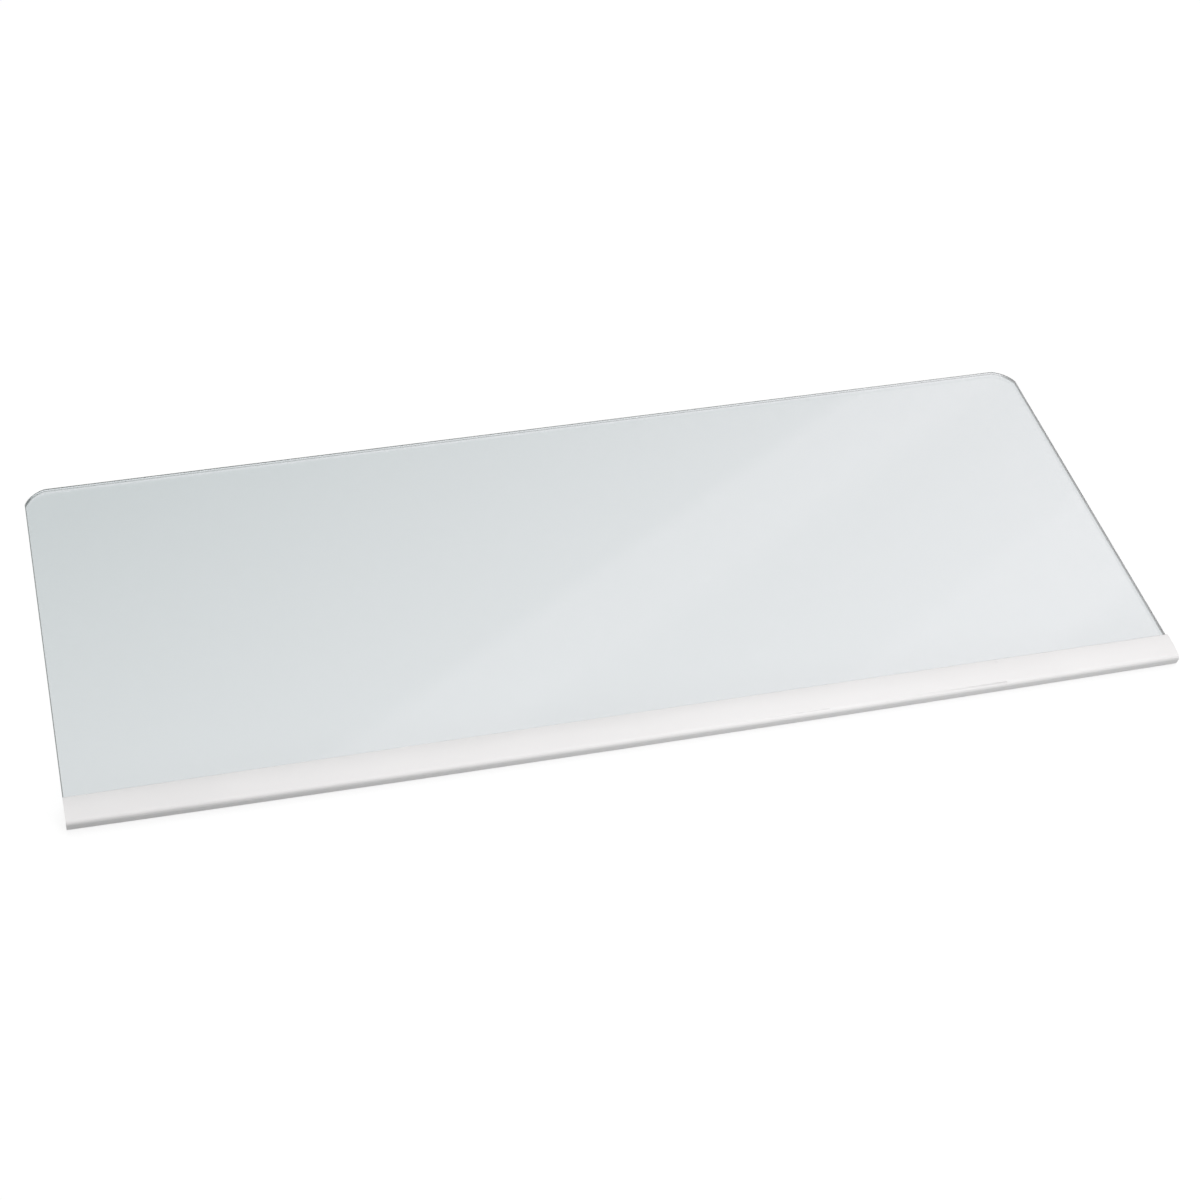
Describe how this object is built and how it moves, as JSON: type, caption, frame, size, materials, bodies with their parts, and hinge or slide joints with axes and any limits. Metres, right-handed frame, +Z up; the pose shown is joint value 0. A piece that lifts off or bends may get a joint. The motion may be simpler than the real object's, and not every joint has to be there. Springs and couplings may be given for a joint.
{
  "type": "fridge crisper cover",
  "caption": "Flat glass cover for a fridge vegetable drawer, with cut rear corners and a slightly bowed, crowned plastic trim gripping its front edge.",
  "frame": {"origin": "middle of the cover, on the plane of the trim's flat underside", "axes": "+X along the front trim, +Y from the trim to the rear edge of the glass, +Z up out of the glass"},
  "size_m": [0.475, 0.2102, 0.0071],
  "materials": {
    "tempered_glass": "clear with a faint green tint and ground edges",
    "white_plastic": "satin"
  },
  "bodies": {
    "root": {"glass_panel": "tempered_glass", "front_trim": "white_plastic"}
  },
  "joints": []
}
